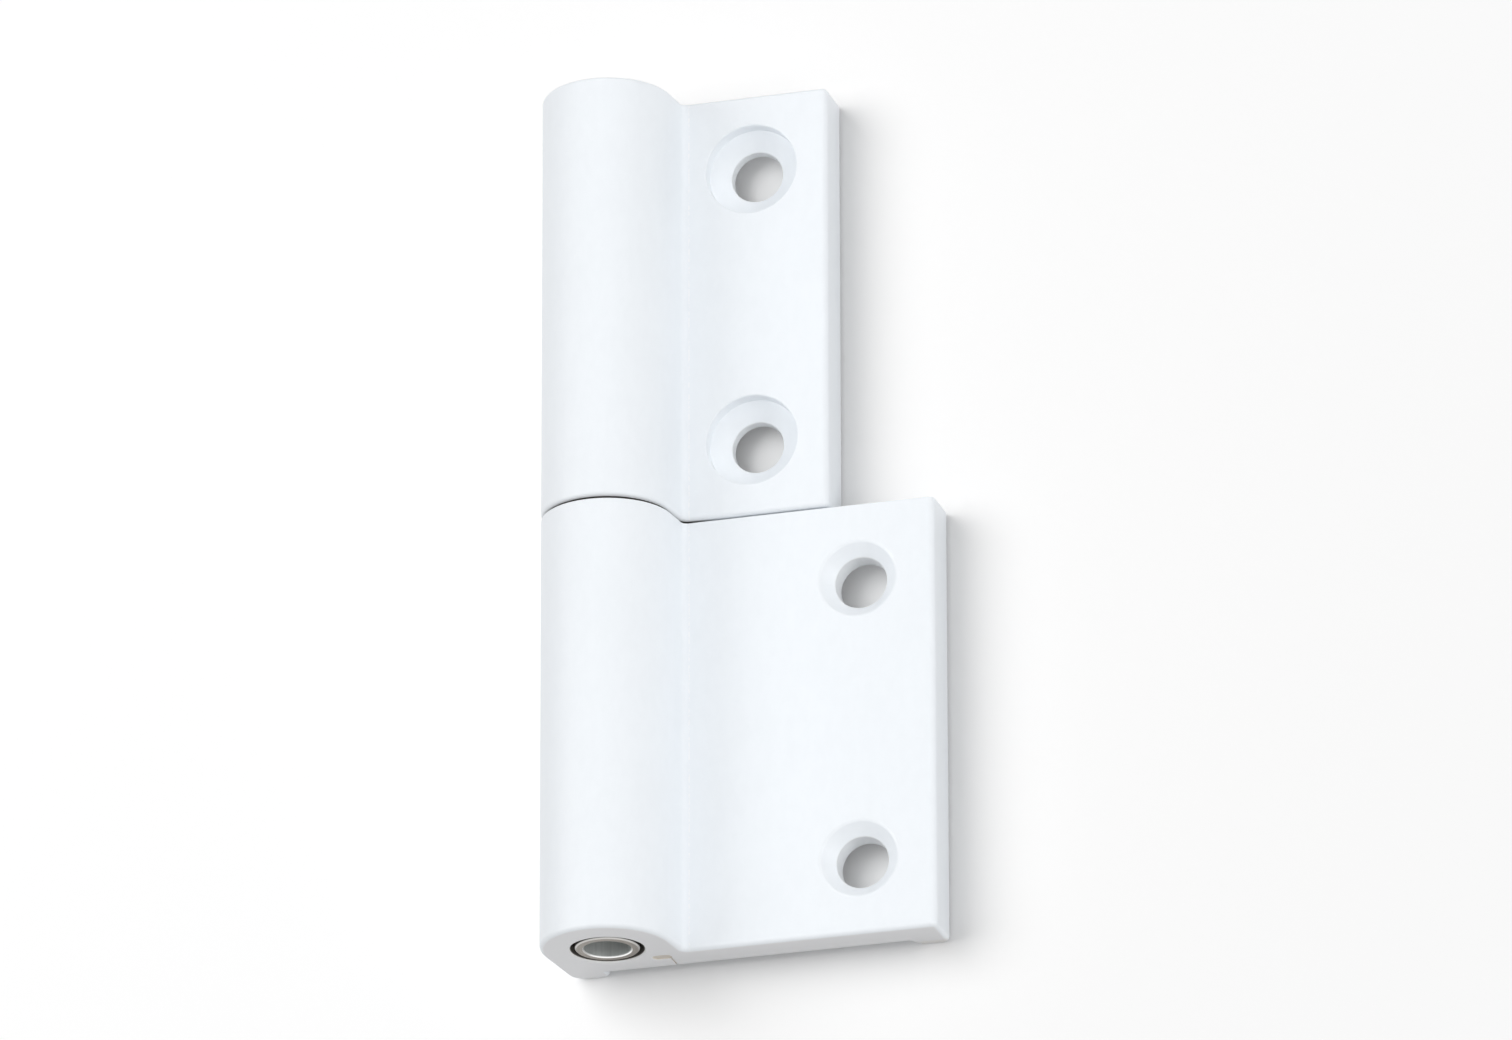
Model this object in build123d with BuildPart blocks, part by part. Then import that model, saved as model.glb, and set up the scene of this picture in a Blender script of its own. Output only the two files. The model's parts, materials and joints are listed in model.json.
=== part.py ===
from build123d import *

import os
from math import acos, atan2, cos, degrees, hypot, radians, sin

# Two-leaf window hinge. It lies on its mounting plane, Z = 0, with the pin along Y, the free edges
# of the leaves towards +X and the painted fronts facing up. All sizes are in millimetres.

# Knuckles
barrel_diameter = 14.8
knuckle_length = 50.0
knuckle_gap = 0.3
axis_height = 8.7

# Leaves
frame_leaf_reach = 36.4
sash_leaf_reach = 24.4
leaf_thickness = 5.8
flank_draft = 6.4
root_fillet = 0.7

# Back of the leaves: a foot under the barrel, a shallow channel and a lip at the free edge
channel_depth = 2.0
foot_outer = 6.5
foot_inner = 2.2
foot_outer_radius = 2.0
foot_inner_radius = 0.8
lip_width = 2.7
lip_slope = 1.4

# Rounded edges
front_edge_radius = 0.65
back_edge_radius = 0.8
end_edge_radius = 0.55
parting_edge_radius = 0.12

# Screw holes
screw_hole_diameter = 5.9
frame_hole_pitch = 32.6
sash_hole_pitch = 32.4
frame_hole_inset = 8.7
sash_hole_distance = 15.6
countersink_diameter = 8.8
countersink_angle = 90.0
counterbore_diameter = 10.4
counterbore_depth = 1.55
counterbore_floor_angle = 130.0
countersink_edge_radius = 0.5
counterbore_edge_radius = 0.2
hole_edge_radius = 0.15

# Hollow pin, pressed into the sash knuckle
pin_diameter = 7.1
pin_wall = 0.95
pin_recess = 0.05
pin_chamfer = 0.15
bore_chamfer = 0.2

# Nylon bushes, pressed into the frame knuckle
bush_wall = 0.45
running_clearance = 0.05
thrust_clearance = 0.02
flange_diameter = 11.0
flange_seat_depth = 0.9
flange_seat_clearance = 0.1
thrust_bush_length = 14.0
end_bush_length = 10.0
end_bush_recess = 5.0

# Shallow notch in the frame knuckle's end face, with a thin score to the back
notch_distance = 5.0
notch_width = 2.2
notch_height = 1.3
notch_floor = 2.05
notch_depth = 0.15
score_width = 0.2

# Derived places and radii
barrel_radius = barrel_diameter / 2
leaf_reach_max = max(frame_leaf_reach, sash_leaf_reach)
axis_x = (barrel_radius - leaf_reach_max) / 2
half_gap = knuckle_gap / 2
end_y = half_gap + knuckle_length
knuckle_mid_y = half_gap + knuckle_length / 2
pin_radius = pin_diameter / 2
bush_bore_radius = pin_radius + running_clearance
frame_bore_radius = bush_bore_radius + bush_wall
flange_radius = flange_diameter / 2
pin_plane = Plane(origin=(axis_x, 0, axis_height))
pin_axis = Axis(pin_plane.origin, pin_plane.y_dir)


def leaf_section(reach):
    """Section across a knuckle and its leaf: barrel, flank, root, plate, lip, channel and foot."""
    free_edge = axis_x + reach
    lip_foot = free_edge - lip_width
    # Both flanks leave the barrel as tangents: one stands on the plate, one on the foot
    root_drop = axis_height - leaf_thickness
    root_x = axis_x + (barrel_radius + root_drop * sin(radians(flank_draft))) / cos(radians(flank_draft))
    foot_span = hypot(foot_outer, axis_height)
    foot_angle = 180 + degrees(atan2(axis_height, foot_outer) - acos(barrel_radius / foot_span))
    with BuildSketch() as section:
        with BuildLine():
            barrel = CenterArc((axis_x, axis_height), barrel_radius, foot_angle, flank_draft - foot_angle)
            FilletPolyline(
                barrel @ 1,
                (root_x, leaf_thickness),
                (free_edge, leaf_thickness),
                (free_edge, 0),
                (lip_foot, 0),
                (lip_foot - lip_slope, channel_depth),
                (axis_x - foot_inner, channel_depth),
                (axis_x - foot_inner, 0),
                (axis_x - foot_outer, 0),
                barrel @ 0,
                radius=[
                    root_fillet,
                    front_edge_radius,
                    back_edge_radius,
                    0,
                    0,
                    0,
                    foot_inner_radius,
                    foot_outer_radius,
                ],
            )
        make_face()
    return section.sketch


def barrel_rim(face):
    """The barrel's outline on an end face, the widest arc there."""
    return face.edges().filter_by(GeomType.CIRCLE).sort_by(SortBy.RADIUS)[-1]


def screw_rims(leaf):
    """The rims of a leaf's screw holes, in groups from the back of the leaf to its front."""
    circles = leaf.edges().filter_by(GeomType.CIRCLE).filter_by(Plane.XY).filter_by(Edge.is_closed)
    return circles.group_by(Axis.Z)


frame_section = leaf_section(frame_leaf_reach)
sash_section = leaf_section(sash_leaf_reach)

# Frame leaf: the lower knuckle with the wider leaf, bored for the bushes
with BuildPart() as frame_leaf:
    with BuildSketch(Plane.XZ.offset(half_gap)):
        add(frame_section)
    extrude(amount=knuckle_length)
    fillet(barrel_rim(frame_leaf.faces().sort_by(Axis.Y)[0]), end_edge_radius)
    fillet(barrel_rim(frame_leaf.faces().sort_by(Axis.Y)[-1]), parting_edge_radius)
    with BuildSketch(pin_plane):
        with BuildLine():
            Polyline(
                (0, -end_y),
                (frame_bore_radius + bore_chamfer, -end_y),
                (frame_bore_radius, -end_y + bore_chamfer),
                (frame_bore_radius, -half_gap - flange_seat_depth),
                (flange_radius + flange_seat_clearance, -half_gap - flange_seat_depth),
                (flange_radius + flange_seat_clearance, -half_gap),
                (0, -half_gap),
                close=True,
            )
        make_face()
    revolve(axis=pin_axis, mode=Mode.SUBTRACT)
    with BuildSketch(Plane.XZ.offset(end_y)):
        notch_z = channel_depth + notch_floor + notch_height / 2
        with Locations((axis_x + notch_distance, notch_z)):
            SlotOverall(notch_width, notch_height)
        score_x = axis_x + notch_distance + notch_width / 2 - score_width
        with Locations((score_x, notch_z)):
            Rectangle(score_width, notch_z, align=(Align.CENTER, Align.MAX))
    extrude(amount=-notch_depth, mode=Mode.SUBTRACT)
    frame_hole_x = axis_x + frame_leaf_reach - frame_hole_inset
    with Locations((frame_hole_x, -knuckle_mid_y, leaf_thickness)):
        with GridLocations(frame_hole_pitch, frame_hole_pitch, 1, 2):
            CounterSinkHole(
                screw_hole_diameter / 2,
                countersink_diameter / 2,
                counter_sink_angle=countersink_angle,
            )
    fillet(screw_rims(frame_leaf)[-2], hole_edge_radius)
    fillet(screw_rims(frame_leaf)[-1], countersink_edge_radius)

# Sash leaf: the upper knuckle with the narrower leaf, bored to grip the pin
with BuildPart() as sash_leaf:
    with BuildSketch(Plane.XZ.offset(-end_y)):
        add(sash_section)
    extrude(amount=knuckle_length)
    fillet(barrel_rim(sash_leaf.faces().sort_by(Axis.Y)[0]), end_edge_radius)
    fillet(barrel_rim(sash_leaf.faces().sort_by(Axis.Y)[-1]), end_edge_radius)
    with BuildSketch(pin_plane):
        with BuildLine():
            Polyline(
                (0, half_gap),
                (pin_radius + bore_chamfer, half_gap),
                (pin_radius, half_gap + bore_chamfer),
                (pin_radius, end_y - bore_chamfer),
                (pin_radius + bore_chamfer, end_y),
                (0, end_y),
                close=True,
            )
        make_face()
    revolve(axis=pin_axis, mode=Mode.SUBTRACT)
    with Locations((axis_x + sash_hole_distance, knuckle_mid_y, leaf_thickness - counterbore_depth)):
        with GridLocations(sash_hole_pitch, sash_hole_pitch, 1, 2):
            CounterSinkHole(
                screw_hole_diameter / 2,
                counterbore_diameter / 2,
                counter_sink_angle=counterbore_floor_angle,
            )
    fillet(screw_rims(sash_leaf)[-2], hole_edge_radius)
    fillet(screw_rims(sash_leaf)[-1], counterbore_edge_radius)

# Hinge pin: a steel tube through both knuckles, its ends just inside the end faces
with BuildPart() as hinge_pin:
    with BuildSketch(pin_plane):
        with Locations((pin_radius, 0)):
            Rectangle(pin_wall, 2 * (end_y - pin_recess), align=(Align.MAX, Align.CENTER))
    revolve(axis=pin_axis)
    chamfer(hinge_pin.edges().filter_by(GeomType.CIRCLE), pin_chamfer)

# Thrust bush: its flange sits in the frame knuckle's end and carries the sash knuckle
with BuildPart() as thrust_bush:
    with BuildSketch(pin_plane):
        with BuildLine():
            Polyline(
                (bush_bore_radius, half_gap - thrust_clearance),
                (flange_radius, half_gap - thrust_clearance),
                (flange_radius, -half_gap - flange_seat_depth),
                (frame_bore_radius, -half_gap - flange_seat_depth),
                (frame_bore_radius, -half_gap - thrust_bush_length),
                (bush_bore_radius, -half_gap - thrust_bush_length),
                close=True,
            )
        make_face()
    revolve(axis=pin_axis)

# End bush: a plain sleeve near the frame knuckle's free end, set back from the end face
with BuildPart() as end_bush:
    with BuildSketch(pin_plane):
        with Locations((bush_bore_radius, -end_y + end_bush_recess)):
            Rectangle(bush_wall, end_bush_length, align=(Align.MIN, Align.MIN))
    revolve(axis=pin_axis)

pieces = {
    "frame_leaf": frame_leaf,
    "sash_leaf": sash_leaf,
    "hinge_pin": hinge_pin,
    "thrust_bush": thrust_bush,
    "end_bush": end_bush,
}

os.makedirs("parts", exist_ok=True)
for name, piece in pieces.items():
    piece.part.label = name
    export_step(piece.part, f"parts/{name}.step")
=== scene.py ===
import json
from math import radians

import bpy
from bpy.props import FloatProperty, FloatVectorProperty, PointerProperty
from bpy.types import Operator, Panel, PropertyGroup
from mathutils import Euler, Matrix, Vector


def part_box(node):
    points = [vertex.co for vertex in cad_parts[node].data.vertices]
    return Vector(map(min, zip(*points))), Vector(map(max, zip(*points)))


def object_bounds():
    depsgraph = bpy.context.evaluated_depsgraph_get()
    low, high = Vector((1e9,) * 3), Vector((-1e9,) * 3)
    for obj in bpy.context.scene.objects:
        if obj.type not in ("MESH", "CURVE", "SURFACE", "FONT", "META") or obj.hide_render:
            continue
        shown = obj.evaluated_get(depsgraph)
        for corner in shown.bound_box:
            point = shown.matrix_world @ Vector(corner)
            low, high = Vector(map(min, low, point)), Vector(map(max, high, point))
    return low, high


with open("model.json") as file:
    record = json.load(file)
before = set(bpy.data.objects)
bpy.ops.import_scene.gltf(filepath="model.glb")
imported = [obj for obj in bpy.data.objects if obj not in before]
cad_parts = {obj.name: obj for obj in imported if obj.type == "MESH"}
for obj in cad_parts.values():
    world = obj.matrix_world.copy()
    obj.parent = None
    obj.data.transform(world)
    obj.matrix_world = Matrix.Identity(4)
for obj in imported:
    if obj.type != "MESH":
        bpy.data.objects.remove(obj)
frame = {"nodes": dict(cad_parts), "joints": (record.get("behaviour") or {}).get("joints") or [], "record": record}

bl_info = {
    "name": "Window hinge",
    "version": (1, 0, 0),
    "blender": (4, 5, 0),
    "location": "View3D > Sidebar > Hinge",
    "description": "Finishes a two-leaf window hinge and sets it on a white table",
    "category": "Object",
}

MM = 0.001
CAD_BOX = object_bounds()
PIN = Vector(frame["joints"][0]["pos_m"])
SCREWS = [mount for mount in frame["record"]["mounts"] if mount["kind"] == "bolt_pattern"]
LEAVES = ("frame_leaf", "sash_leaf")
BUSHES = ("thrust_bush", "end_bush")

# Places on the pieces that the finishes follow, taken from the frame where it gives them
FRAME_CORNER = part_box("frame_leaf")[1]
END = CAD_BOX[1].y
HALF_GAP = -FRAME_CORNER.y
FRAME_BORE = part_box("end_bush")[1].x - PIN.x
TUBE_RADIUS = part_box("hinge_pin")[1].x - PIN.x
TUBE_WALL = 0.95 * MM
TUBE_BORE = TUBE_RADIUS - TUBE_WALL
TUBE_CHAMFER = 0.15 * MM
BARREL_RADIUS = FRAME_CORNER.z - PIN.z
PLATE_TOP = 5.8 * MM
FOOT_TOP = 4.5 * MM
LIP_START = FRAME_CORNER.x - 4.4 * MM
NOTCH_LEFT = 3.85 * MM
NOTCH_RIGHT = 6.25 * MM
NOTCH_TOP = 5.5 * MM

# How much of the thin coat's beige shows at each place
BACK_WEAR = 0.1
HOLE_WEAR = 0.12
LIP_WEAR = 0.28
BORE_WEAR = 0.35
NOTCH_WEAR = 0.75

# Where each lamp stands: degrees from straight above, then degrees about the vertical
LAMPS = {
    "overhead": (25, 180),
    "left": (50, 180),
    "back": (50, 90),
    "right": (50, 0),
    "near": (42, 310),
    "side": (65, 345),
}
TABLE_LAMP = (38, 162)
TABLE_LAMP_WIDENING = 2.0


class Value:
    """A socket of a material's graph. Arithmetic on it adds Math nodes."""

    def __init__(self, graph, socket):
        self.graph = graph
        self.socket = socket

    def math(self, operation, *terms):
        node = self.graph.node("ShaderNodeMath", {"operation": operation}, dict(enumerate(terms)))
        return node.out(0)

    def __add__(self, other):
        return self.math("ADD", self, other)

    def __radd__(self, other):
        return self.math("ADD", other, self)

    def __sub__(self, other):
        return self.math("SUBTRACT", self, other)

    def __rsub__(self, other):
        return self.math("SUBTRACT", other, self)

    def __mul__(self, other):
        return self.math("MULTIPLY", self, other)

    def __rmul__(self, other):
        return self.math("MULTIPLY", other, self)

    def __abs__(self):
        return self.math("ABSOLUTE", self)

    def hypot(self, other):
        """Length of the vector that has these two values as its parts."""
        return self.math("SQRT", self * self + other * other)

    def least(self, other):
        """The smaller of two values."""
        return self.math("MINIMUM", self, other)

    def most(self, other):
        """The larger of two values."""
        return self.math("MAXIMUM", self, other)


class Node:
    """A node just added to a graph, with its outputs ready to use as values."""

    def __init__(self, graph, node):
        self.graph = graph
        self.node = node

    def out(self, name):
        return Value(self.graph, self.node.outputs[name])


class Graph:
    """A node tree that is written as Python expressions."""

    def __init__(self, owner):
        owner.use_nodes = True
        self.tree = owner.node_tree
        self.tree.nodes.clear()

    def node(self, kind, settings=None, inputs=None):
        """Adds a node, sets it up first, then gives its sockets their values or links."""
        node = self.tree.nodes.new(kind)
        for name, setting in (settings or {}).items():
            setattr(node, name, setting)
        for name, value in (inputs or {}).items():
            if isinstance(value, Value):
                self.tree.links.new(value.socket, node.inputs[name])
            else:
                node.inputs[name].default_value = value
        return Node(self, node)

    def noise(self, point, size, detail=2.0):
        """Soft random field from 0 to 1 whose lumps are about size metres across."""
        inputs = {"Vector": point, "Scale": 1 / size, "Detail": detail}
        return self.node("ShaderNodeTexNoise", None, inputs).out("Fac")

    def rings(self, radius, size, detail=2.0):
        """Random rings from 0 to 1, each about size metres wide."""
        inputs = {"W": radius, "Scale": 1 / size, "Detail": detail}
        return self.node("ShaderNodeTexNoise", {"noise_dimensions": "1D"}, inputs).out("Fac")

    def step(self, value, start, end):
        """0 before start, 1 after end and smooth between them."""
        settings = {"interpolation_type": "SMOOTHSTEP"}
        inputs = {"Value": value, "From Min": start, "From Max": end}
        return self.node("ShaderNodeMapRange", settings, inputs).out("Result")

    def mix(self, factor, first, second):
        """Blend of two colours."""
        inputs = {0: factor, 6: first, 7: second}
        return self.node("ShaderNodeMix", {"data_type": "RGBA"}, inputs).out(2)

    def blend(self, factor, first, second):
        """Blend of two shaders."""
        return self.node("ShaderNodeMixShader", None, {0: factor, 1: first, 2: second}).out("Shader")

    def emission(self, strength):
        """White light of this strength, where 1 is seen as white."""
        return self.node("ShaderNodeEmission", None, {"Strength": strength}).out("Emission")

    def diffuse(self, colour):
        """Plain matt surface."""
        return self.node("ShaderNodeBsdfDiffuse", None, {"Color": rgba(colour)}).out("BSDF")

    def background(self, strength):
        """White sky of this strength."""
        inputs = {"Color": (1.0, 1.0, 1.0, 1.0), "Strength": strength}
        return self.node("ShaderNodeBackground", None, inputs).out("Background")

    def object_point(self):
        """Place on the piece, as one vector and as its three parts."""
        point = self.node("ShaderNodeTexCoord").out("Object")
        parts = self.node("ShaderNodeSeparateXYZ", None, {"Vector": point})
        return point, parts.out("X"), parts.out("Y"), parts.out("Z")

    def stretched(self, point, scale):
        """The same place with its axes scaled, for patterns that run one way."""
        return self.node("ShaderNodeMapping", None, {"Vector": point, "Scale": scale}).out("Vector")

    def bump(self, height):
        """Normal of a surface with this height in metres."""
        inputs = {"Strength": 1.0, "Distance": 1.0, "Height": height}
        return self.node("ShaderNodeBump", None, inputs).out("Normal")

    def principled(self, inputs):
        """Ends the graph with a Principled shader."""
        shader = self.node("ShaderNodeBsdfPrincipled", None, inputs)
        self.node("ShaderNodeOutputMaterial", None, {"Surface": shader.out("BSDF")})


def rgba(colour, share=1.0):
    """A colour property, or a darker share of it, as four numbers."""
    return (*(part * share for part in colour), 1.0)


class CoatSettings(PropertyGroup):
    colour: FloatVectorProperty(
        name="Coat colour",
        description="White of the powder coat",
        subtype="COLOR",
        default=(0.895, 0.93, 0.965),
        min=0,
        max=1,
    )
    shade: FloatVectorProperty(
        name="Coat shade",
        description="Slightly greyer white that mottles the coat",
        subtype="COLOR",
        default=(0.878, 0.913, 0.948),
        min=0,
        max=1,
    )
    ends: FloatVectorProperty(
        name="End coat",
        description="Warmer white on the sawn end faces",
        subtype="COLOR",
        default=(0.86, 0.865, 0.88),
        min=0,
        max=1,
    )
    thin: FloatVectorProperty(
        name="Thin coat",
        description="Beige where the coat runs out at the back and in the holes",
        subtype="COLOR",
        default=(0.66, 0.59, 0.49),
        min=0,
        max=1,
    )
    # Painted shade: this dark colour stands in for the shade in the gap between the knuckles and in the bore
    gap: FloatVectorProperty(
        name="Gap",
        description="Dark film between the knuckles and in the bore",
        subtype="COLOR",
        default=(0.11, 0.1, 0.09),
        min=0,
        max=1,
    )
    roughness: FloatProperty(
        name="Coat roughness",
        description="Gloss of the powder coat, 0 is a mirror",
        default=0.42,
        subtype="FACTOR",
        min=0,
        max=1,
    )
    peel_size: FloatProperty(
        name="Orange peel size",
        description="Width of one lump in the coat",
        default=0.9 * MM,
        unit="LENGTH",
    )
    peel_depth: FloatProperty(
        name="Orange peel depth",
        description="Height of the lumps in the coat",
        default=0.008 * MM,
        unit="LENGTH",
    )
    grain_size: FloatProperty(
        name="Grain size",
        description="Width of one grain of the powder",
        default=0.22 * MM,
        unit="LENGTH",
    )
    grain_depth: FloatProperty(
        name="Grain depth",
        description="Height of the grains",
        default=0.0016 * MM,
        unit="LENGTH",
    )
    # The line at this distance is partly a bead of coat and partly a painted highlight
    crease: FloatProperty(
        name="Crease",
        description="Distance from the pin to the bead of coat at the foot of the barrel",
        default=8.42 * MM,
        unit="LENGTH",
    )


class SteelSettings(PropertyGroup):
    colour: FloatVectorProperty(
        name="Steel colour",
        description="Drawn steel of the tube's wall",
        subtype="COLOR",
        default=(0.53, 0.55, 0.54),
        min=0,
        max=1,
    )
    face: FloatVectorProperty(
        name="End face",
        description="Brownish grey of the tube's sawn ends",
        subtype="COLOR",
        default=(0.29, 0.265, 0.235),
        min=0,
        max=1,
    )
    rim: FloatVectorProperty(
        name="Rim",
        description="Bright steel of the broken edges",
        subtype="COLOR",
        default=(0.56, 0.55, 0.53),
        min=0,
        max=1,
    )
    # Painted highlight: a bright colour on the lower side of the tube's inner edges stands in for a glint of light
    # there
    painted_glint: FloatVectorProperty(
        name="Glint",
        description="Polished steel on the lower side of the tube's inner edges",
        subtype="COLOR",
        default=(0.96, 0.96, 0.95),
        min=0,
        max=1,
    )
    roughness: FloatProperty(
        name="Steel roughness",
        description="Gloss of the steel, 0 is a mirror",
        default=0.34,
        subtype="FACTOR",
        min=0,
        max=1,
    )


class NylonSettings(PropertyGroup):
    colour: FloatVectorProperty(
        name="Nylon colour",
        description="Natural colour of the bushes",
        subtype="COLOR",
        default=(0.74, 0.69, 0.59),
        min=0,
        max=1,
    )
    roughness: FloatProperty(
        name="Nylon roughness",
        description="Gloss of the nylon, 0 is a mirror",
        default=0.5,
        subtype="FACTOR",
        min=0,
        max=1,
    )


class StageSettings(PropertyGroup):
    floor_size: FloatProperty(
        name="Floor size",
        description="Side of the square floor",
        default=8.0,
        unit="LENGTH",
    )
    floor_colour: FloatVectorProperty(
        name="Floor colour",
        description="White of the table",
        subtype="COLOR",
        default=(0.85, 0.85, 0.85),
        min=0,
        max=1,
    )
    floor_seen: FloatVectorProperty(
        name="Floor as seen",
        description="White of the table as the camera and reflections see it",
        subtype="COLOR",
        default=(1.0, 1.0, 1.0),
        min=0,
        max=1,
    )
    floor_glow: FloatProperty(
        name="Floor glow",
        description="Light from the table that only the camera and reflections see",
        default=0.22,
        subtype="FACTOR",
        min=0,
        max=1,
    )
    # Painted shadow: these two set how much the table's glow is dimmed near the hinge and in nooks
    nook_glow: FloatProperty(
        name="Nook glow",
        description="Share of the glow that is left in a closed nook, such as a screw hole",
        default=0.35,
        subtype="FACTOR",
        min=0,
        max=1,
    )
    nook: FloatProperty(
        name="Nook reach",
        description="How near a surface has to stand to dim the glow of the table",
        default=8 * MM,
        unit="LENGTH",
    )
    fade_start: FloatProperty(
        name="Fade start",
        description="Distance from the hinge at which the table begins to fade to white",
        default=0.07,
        unit="LENGTH",
    )
    fade_end: FloatProperty(
        name="Fade end",
        description="Distance from the hinge at which the table is pure white",
        default=0.24,
        unit="LENGTH",
    )
    sky: FloatProperty(
        name="Sky",
        description="Strength of the even light from all round",
        default=0.29,
        min=0,
    )
    overhead: FloatProperty(
        name="Overhead lamp",
        description="Power of the lamp above, a little to the left",
        default=3.8,
        unit="POWER",
        min=0,
    )
    left: FloatProperty(
        name="Left lamp",
        description="Power of the lamp at the left",
        default=12.6,
        unit="POWER",
        min=0,
    )
    back: FloatProperty(
        name="Back lamp",
        description="Power of the lamp behind",
        default=8.0,
        unit="POWER",
        min=0,
    )
    right: FloatProperty(
        name="Right lamp",
        description="Power of the lamp at the right",
        default=7.1,
        unit="POWER",
        min=0,
    )
    near: FloatProperty(
        name="Near lamp",
        description="Power of the lamp above, towards the camera",
        default=7.2,
        unit="POWER",
        min=0,
    )
    side: FloatProperty(
        name="Side lamp",
        description="Power of the low lamp at the right",
        default=7.0,
        unit="POWER",
        min=0,
    )
    table: FloatProperty(
        name="Table lamp",
        description="Power of the wide lamp at the left that lights the table alone",
        default=29.0,
        unit="POWER",
        min=0,
    )
    lamp_size: FloatProperty(
        name="Lamp size",
        description="Width of each round lamp on the hinge; the table lamp is wider",
        default=1.0,
        unit="LENGTH",
        min=0,
    )
    lamp_distance: FloatProperty(
        name="Lamp distance",
        description="From the hinge to each lamp",
        default=2.0,
        unit="LENGTH",
        min=0,
    )


class CameraSettings(PropertyGroup):
    tilt: FloatProperty(
        name="Tilt",
        description="Angle from straight above towards the frame knuckle's end",
        default=radians(21.5),
        subtype="ANGLE",
    )
    turn: FloatProperty(
        name="Turn",
        description="Angle about the pin towards the leaves' free edges",
        default=radians(16.74),
        subtype="ANGLE",
    )
    roll: FloatProperty(
        name="Roll",
        description="Turn of the picture about the line of sight",
        default=radians(-0.135),
        subtype="ANGLE",
    )
    lens: FloatProperty(
        name="Lens",
        description="Focal length for a sensor 36 mm wide",
        default=318.1,
        unit="CAMERA",
    )
    distance: FloatProperty(
        name="Distance",
        description="From the camera to the point that it looks at",
        default=1.4656,
        unit="LENGTH",
    )
    target: FloatVectorProperty(
        name="Target",
        description="The point that the camera looks at",
        default=(2.49 * MM, -1.87 * MM, 8.7 * MM),
        subtype="TRANSLATION",
        unit="LENGTH",
    )


class HingeSettings(PropertyGroup):
    coat: PointerProperty(type=CoatSettings, name="Coat", description="Powder coat of the leaves")
    steel: PointerProperty(type=SteelSettings, name="Steel", description="Steel of the pin")
    nylon: PointerProperty(type=NylonSettings, name="Nylon", description="Nylon of the bushes")
    stage: PointerProperty(type=StageSettings, name="Stage", description="Table, sky and lamps")
    camera: PointerProperty(type=CameraSettings, name="Camera", description="Where the camera stands")


def end_depth(y):
    """Distance in from the nearer end face of the hinge."""
    return END - abs(y)


def pin_distance(x, z):
    """Distance from the pin's axis."""
    return (x - PIN.x).hypot(z - PIN.z)


def frame_half(graph, y):
    """1 on the frame knuckle's side of the parting."""
    return 1 - graph.step(y, -1 * MM, 0)


def screw_gap(x, y):
    """Distance from the wall of the nearest screw hole, below 0 inside the hole."""
    nearest = None
    for mount in SCREWS:
        across = x - mount["pos_m"][0]
        along = abs(y - mount["pos_m"][1]) - mount["dims"]["spacing_y_mm"] / 2 * MM
        gap = across.hypot(along) - mount["dims"]["hole_r_mm"] * MM
        nearest = gap if nearest is None else nearest.least(gap)
    return nearest


def notch_floor(graph, x, y, z):
    """1 on the sunk floor of the notch in the frame knuckle's end face."""
    across = x - PIN.x
    depth = y + END
    sunk = graph.step(depth, 0.02 * MM, 0.05 * MM) * (1 - graph.step(depth, 0.2 * MM, 0.25 * MM))
    left = graph.step(across, NOTCH_LEFT - 0.05 * MM, NOTCH_LEFT)
    right = 1 - graph.step(across, NOTCH_RIGHT, NOTCH_RIGHT + 0.05 * MM)
    below = 1 - graph.step(z, NOTCH_TOP, NOTCH_TOP + 0.1 * MM)
    return sunk * left * right * below


def thin_coat(graph, point, x, y, z):
    """1 where the coat runs out: back edges, lip, screw holes, the bore's rim and the notch."""
    ragged = (graph.noise(point, 1.1 * MM, detail=4.0) - 0.5) * (0.5 * MM)
    ends = 1 - graph.step(end_depth(y), 0.05 * MM, 0.25 * MM)
    back = 1 - graph.step(z + ragged, 0.05 * MM, 0.3 * MM)
    back = back * (ends * (1 - BACK_WEAR) + BACK_WEAR)
    lip = graph.step(x, LIP_START, LIP_START + 1 * MM)
    lip = ends * lip * (1 - graph.step(z + ragged, 0.9 * MM, 1.6 * MM))
    hole = 1 - graph.step(screw_gap(x, y), 0.02 * MM, 0.1 * MM)
    beyond = pin_distance(x, z) + ragged * 0.6 - FRAME_BORE
    bore = frame_half(graph, y) * (1 - graph.step(beyond, 0.05 * MM, 0.25 * MM))
    worn = back.most(hole * HOLE_WEAR).most(lip * LIP_WEAR).most(bore * BORE_WEAR)
    return worn.most(notch_floor(graph, x, y, z) * NOTCH_WEAR)


def painted_gap_shade(graph, x, y, z):
    """Painted shade: 1 on the hidden faces between the knuckles and on the wall of the pin's bore, which are
    darkened where shade falls.
    """
    across = x - PIN.x
    faces = 1 - graph.step(abs(y), HALF_GAP + 0.005 * MM, HALF_GAP + 0.035 * MM)
    plate = graph.step(across, BARREL_RADIUS + 0.1 * MM, BARREL_RADIUS + 4.6 * MM)
    clear_of_foot = graph.step(z, FOOT_TOP, FOOT_TOP + 2.5 * MM)
    faces = faces * (1 - plate * 0.95) * clear_of_foot.most(graph.step(across, 0, 2 * MM))
    bore = 1 - graph.step(pin_distance(x, z) - FRAME_BORE, 0.01 * MM, 0.05 * MM)
    return faces.most(bore * frame_half(graph, y))


def bead_and_highlight_line(graph, point, x, z, settings):
    """1 on the thin broken line at the foot of the barrel, partly a bead of coat and partly a painted highlight.
    """
    line = 1 - graph.step(abs(x - (PIN.x + settings.crease)), 0.03 * MM, 0.13 * MM)
    broken = graph.step(graph.noise(point, 0.35 * MM), 0.42, 0.6)
    return line * broken * graph.step(z, PLATE_TOP - 0.8 * MM, PLATE_TOP - 0.3 * MM)


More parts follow.
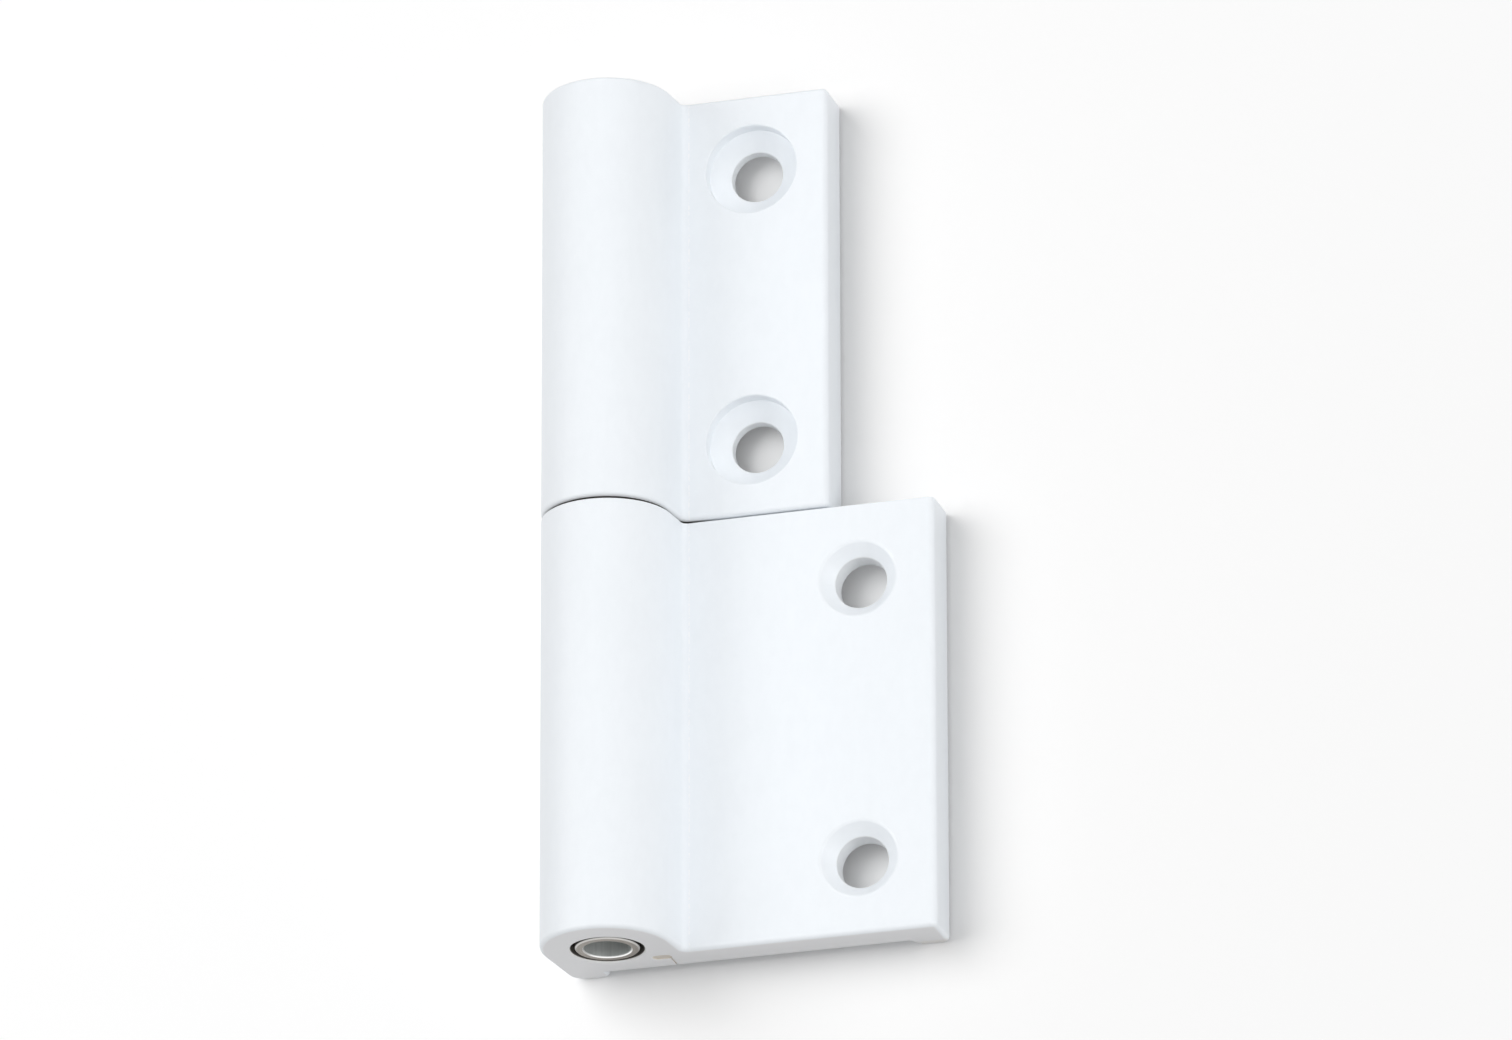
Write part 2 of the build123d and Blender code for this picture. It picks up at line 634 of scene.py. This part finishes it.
def powder_coat(settings):
    """White powder coat: mottled white, orange peel, powder grain, beige where it runs out, a bead with a painted
    highlight at the barrel's foot, and painted shade between the knuckles and in the bore.
    """
    material = bpy.data.materials.new("white_powder_coat")
    graph = Graph(material)
    point, x, y, z = graph.object_point()
    along = graph.stretched(point, (1.0, 0.45, 1.0))
    peel = graph.noise(along, settings.peel_size, detail=3.0)
    grain = graph.noise(point, settings.grain_size)
    mottle = graph.noise(point, 6 * MM, detail=3.0) * 0.3 + peel * 0.45 + grain * 0.25
    white = graph.mix(graph.step(mottle, 0.35, 0.65), rgba(settings.shade), rgba(settings.colour))
    bead_highlight = bead_and_highlight_line(graph, point, x, z, settings)
    # Lightens a thin line at the barrel's foot: a bead of coat with a painted highlight along the crease
    white = graph.mix(bead_highlight * 0.6, white, (1.0, 1.0, 1.0, 1.0))
    inner = graph.step(end_depth(y), 0.01 * MM, 0.05 * MM)
    white = graph.mix(inner, rgba(settings.ends), white)
    worn = thin_coat(graph, point, x, y, z)
    colour = graph.mix(worn, white, rgba(settings.thin))
    graph.principled({
        # Painted shade darkens the gap between the knuckles and the wall of the bore
        "Base Color": graph.mix(painted_gap_shade(graph, x, y, z), colour, rgba(settings.gap)),
        "Roughness": settings.roughness + (mottle - 0.5) * 0.12 + worn * 0.15,
        "Normal": graph.bump(peel * settings.peel_depth + grain * settings.grain_depth),
    })
    return material


def drawn_steel(settings):
    """Steel tube: drawn walls, turned brownish ends, bright broken edges and a painted highlight on the lower side
    of the inner edges.
    """
    material = bpy.data.materials.new("drawn_steel")
    graph = Graph(material)
    point, x, y, z = graph.object_point()
    radius = pin_distance(x, z)
    rings = graph.rings(radius, 0.12 * MM, detail=3.0)
    drawn = graph.noise(graph.stretched(point, (1.0, 0.03, 1.0)), 0.25 * MM, detail=3.0)
    film = graph.noise(point, 0.8 * MM, detail=4.0)
    inside = 1 - graph.step(radius - TUBE_BORE, 0.02 * MM, 0.05 * MM)
    middle = (TUBE_BORE + TUBE_RADIUS) / 2
    flat = (TUBE_RADIUS - TUBE_BORE) / 2 - TUBE_CHAMFER
    ring = 1 - graph.step(abs(radius - middle), flat - 0.015 * MM, flat + 0.005 * MM)
    lower = graph.step(PIN.z - z, 0.6 * MM, 2 * MM)
    inner_edge = 1 - graph.step(radius - TUBE_BORE - TUBE_CHAMFER, -0.01 * MM, 0.03 * MM)
    streaks = graph.step(drawn, 0.3, 0.7)
    wall = graph.mix(streaks, rgba(settings.colour, 0.9), rgba(settings.colour))
    marks = graph.step(rings * 0.6 + film * 0.4, 0.35, 0.65)
    face = graph.mix(marks, rgba(settings.face, 0.75), rgba(settings.face))
    end = graph.mix(ring, rgba(settings.rim), face)
    # Painted highlight: the lower side of the inner edge gets a bright colour in place of a glint of light
    end = graph.mix(inner_edge * lower, end, rgba(settings.painted_glint))
    at_end = 1 - graph.step(end_depth(y), 0.2 * MM, 0.23 * MM)
    turned = 1 - graph.step(end_depth(y), 0.06 * MM, 0.1 * MM)
    graph.principled({
        "Base Color": graph.mix(at_end * (1 - inside), wall, end),
        "Metallic": 1 - inside * 0.45,
        "Roughness": settings.roughness + (film - 0.5) * 0.25 + inside * 0.15,
        "Normal": graph.bump(rings * turned * (0.004 * MM) + drawn * (0.001 * MM)),
    })
    return material


def natural_nylon(settings):
    """Cream nylon of the bushes, slightly cloudy."""
    material = bpy.data.materials.new("natural_nylon")
    graph = Graph(material)
    point = graph.object_point()[0]
    cloud = graph.step(graph.noise(point, 2.5 * MM, detail=3.0), 0.35, 0.65)
    grain = graph.noise(point, 0.2 * MM)
    graph.principled({
        "Base Color": graph.mix(cloud, rgba(settings.colour, 0.86), rgba(settings.colour)),
        "Roughness": settings.roughness + (grain - 0.5) * 0.2,
        "Normal": graph.bump(grain * (0.003 * MM)),
    })
    return material


def finish_nodes(names, material):
    """Puts one material on CAD pieces."""
    for name in names:
        for slot in frame["nodes"][name].material_slots:
            slot.material = material


class HINGE_OT_coat_leaves(Operator):
    """Give both leaves their white powder coat"""

    bl_idname = "hinge.coat_leaves"
    bl_label = "Coat leaves"

    def execute(self, context):
        finish_nodes(LEAVES, powder_coat(context.scene.hinge.coat))
        return {"FINISHED"}


class HINGE_OT_finish_pin(Operator):
    """Give the pin its drawn steel"""

    bl_idname = "hinge.finish_pin"
    bl_label = "Finish pin"

    def execute(self, context):
        finish_nodes(("hinge_pin",), drawn_steel(context.scene.hinge.steel))
        return {"FINISHED"}


class HINGE_OT_finish_bushes(Operator):
    """Give the bushes their nylon"""

    bl_idname = "hinge.finish_bushes"
    bl_label = "Finish bushes"

    def execute(self, context):
        finish_nodes(BUSHES, natural_nylon(context.scene.hinge.nylon))
        return {"FINISHED"}


def seen_directly(graph):
    """1 for rays that come from the camera or from a reflection, 0 for light on its way."""
    path = graph.node("ShaderNodeLightPath")
    seen = path.out("Is Camera Ray")
    for ray in ("Is Glossy Ray", "Is Transmission Ray"):
        seen = seen.most(path.out(ray))
    return seen


def table_white(settings):
    """White table that keeps the shadow and looks white to the camera, pure white far off; its glow is dimmed near
    the hinge and in nooks as a painted contact shadow.
    """
    material = bpy.data.materials.new("table_white")
    graph = Graph(material)
    x, y = graph.object_point()[1:3]
    far = graph.step(x.hypot(y), settings.fade_start, settings.fade_end)
    # Painted shadow: the table's glow is dimmed where a surface stands near, as a contact shadow
    open_air = graph.node("ShaderNodeAmbientOcclusion", None, {"Distance": settings.nook}).out("AO")
    dim = graph.emission(settings.floor_glow * settings.nook_glow)
    glow = graph.blend(open_air, dim, graph.emission(settings.floor_glow))
    white = graph.diffuse(settings.floor_seen)
    close = graph.node("ShaderNodeAddShader", None, {0: white, 1: glow}).out("Shader")
    seen = graph.blend(far, close, graph.emission(1.0))
    surface = graph.blend(seen_directly(graph), graph.diffuse(settings.floor_colour), seen)
    graph.node("ShaderNodeOutputMaterial", None, {"Surface": surface})
    return material


def white_sky(settings):
    """Even white light from all round, pure white to the camera and in reflections."""
    world = bpy.data.worlds.new("white_sky")
    graph = Graph(world)
    sky = graph.blend(seen_directly(graph), graph.background(settings.sky), graph.background(1.0))
    graph.node("ShaderNodeOutputWorld", None, {"Surface": sky})
    return world


def soft_lamp(context, name, lean, turn, widen=1.0):
    """Round soft lamp that leans from straight above and is turned about the vertical."""
    settings = context.scene.hinge.stage
    lamp = bpy.data.lights.new(name + "_lamp", "AREA")
    lamp.shape = "DISK"
    lamp.size = settings.lamp_size * widen
    lamp.energy = getattr(settings, name)
    holder = bpy.data.objects.new(name + "_lamp", lamp)
    context.scene.collection.objects.link(holder)
    holder.rotation_euler = Euler((0, radians(lean), radians(turn)))
    holder.location = holder.rotation_euler.to_matrix() @ Vector((0, 0, settings.lamp_distance))
    return holder


class HINGE_OT_build_stage(Operator):
    """Set the hinge on a white table under soft light"""

    bl_idname = "hinge.build_stage"
    bl_label = "Build stage"

    def execute(self, context):
        settings = context.scene.hinge.stage
        bpy.ops.object.select_all(action="DESELECT")
        bpy.ops.mesh.primitive_plane_add(size=settings.floor_size, location=(0, 0, CAD_BOX[0].z))
        floor = context.object
        floor.name = "table"
        floor.data.materials.append(table_white(settings))
        context.scene.world = white_sky(settings)
        # One wide lamp lights the table and the others light the hinge, so one soft shadow falls
        on_table = bpy.data.collections.new("on_table")
        off_table = bpy.data.collections.new("off_table")
        for group in (on_table, off_table):
            group.objects.link(floor)
        off_table.collection_objects[0].light_linking.link_state = "EXCLUDE"
        table_lamp = soft_lamp(context, "table", *TABLE_LAMP, widen=TABLE_LAMP_WIDENING)
        table_lamp.light_linking.receiver_collection = on_table
        for name, (lean, turn) in LAMPS.items():
            lamp = soft_lamp(context, name, lean, turn)
            lamp.light_linking.receiver_collection = off_table
        context.scene.view_settings.view_transform = "Standard"
        return {"FINISHED"}


class HINGE_OT_set_camera(Operator):
    """Look down on the hinge from the frame knuckle's end"""

    bl_idname = "hinge.set_camera"
    bl_label = "Set camera"

    def execute(self, context):
        settings = context.scene.hinge.camera
        data = bpy.data.cameras.new("camera")
        data.lens = settings.lens
        data.sensor_fit = "HORIZONTAL"
        data.sensor_width = 36
        camera = bpy.data.objects.new("camera", data)
        context.scene.collection.objects.link(camera)
        camera.rotation_mode = "ZXY"
        camera.rotation_euler = (settings.tilt, settings.turn, settings.roll)
        back = camera.rotation_euler.to_matrix() @ Vector((0, 0, 1))
        camera.location = Vector(settings.target) + back * settings.distance
        context.scene.camera = camera
        return {"FINISHED"}


class HINGE_PT_panel(Panel):
    """Finishes, stage and camera of the hinge"""

    bl_label = "Window hinge"
    bl_idname = "HINGE_PT_panel"
    bl_space_type = "VIEW_3D"
    bl_region_type = "UI"
    bl_category = "Hinge"

    def draw(self, context):
        for operator in OPERATORS:
            self.layout.operator(operator.bl_idname)


OPERATORS = (
    HINGE_OT_coat_leaves,
    HINGE_OT_finish_pin,
    HINGE_OT_finish_bushes,
    HINGE_OT_build_stage,
    HINGE_OT_set_camera,
)
CLASSES = (
    CoatSettings,
    SteelSettings,
    NylonSettings,
    StageSettings,
    CameraSettings,
    HingeSettings,
    *OPERATORS,
    HINGE_PT_panel,
)


def register():
    for cls in CLASSES:
        bpy.utils.register_class(cls)
    bpy.types.Scene.hinge = PointerProperty(
        type=HingeSettings,
        name="Hinge",
        description="Finishes, stage and camera of the hinge",
    )


def unregister():
    del bpy.types.Scene.hinge
    for cls in reversed(CLASSES):
        bpy.utils.unregister_class(cls)


def main():
    register()
    bpy.ops.hinge.coat_leaves()
    bpy.ops.hinge.finish_pin()
    bpy.ops.hinge.finish_bushes()
    bpy.ops.hinge.build_stage()
    bpy.ops.hinge.set_camera()


if __name__ == "__main__":
    main()
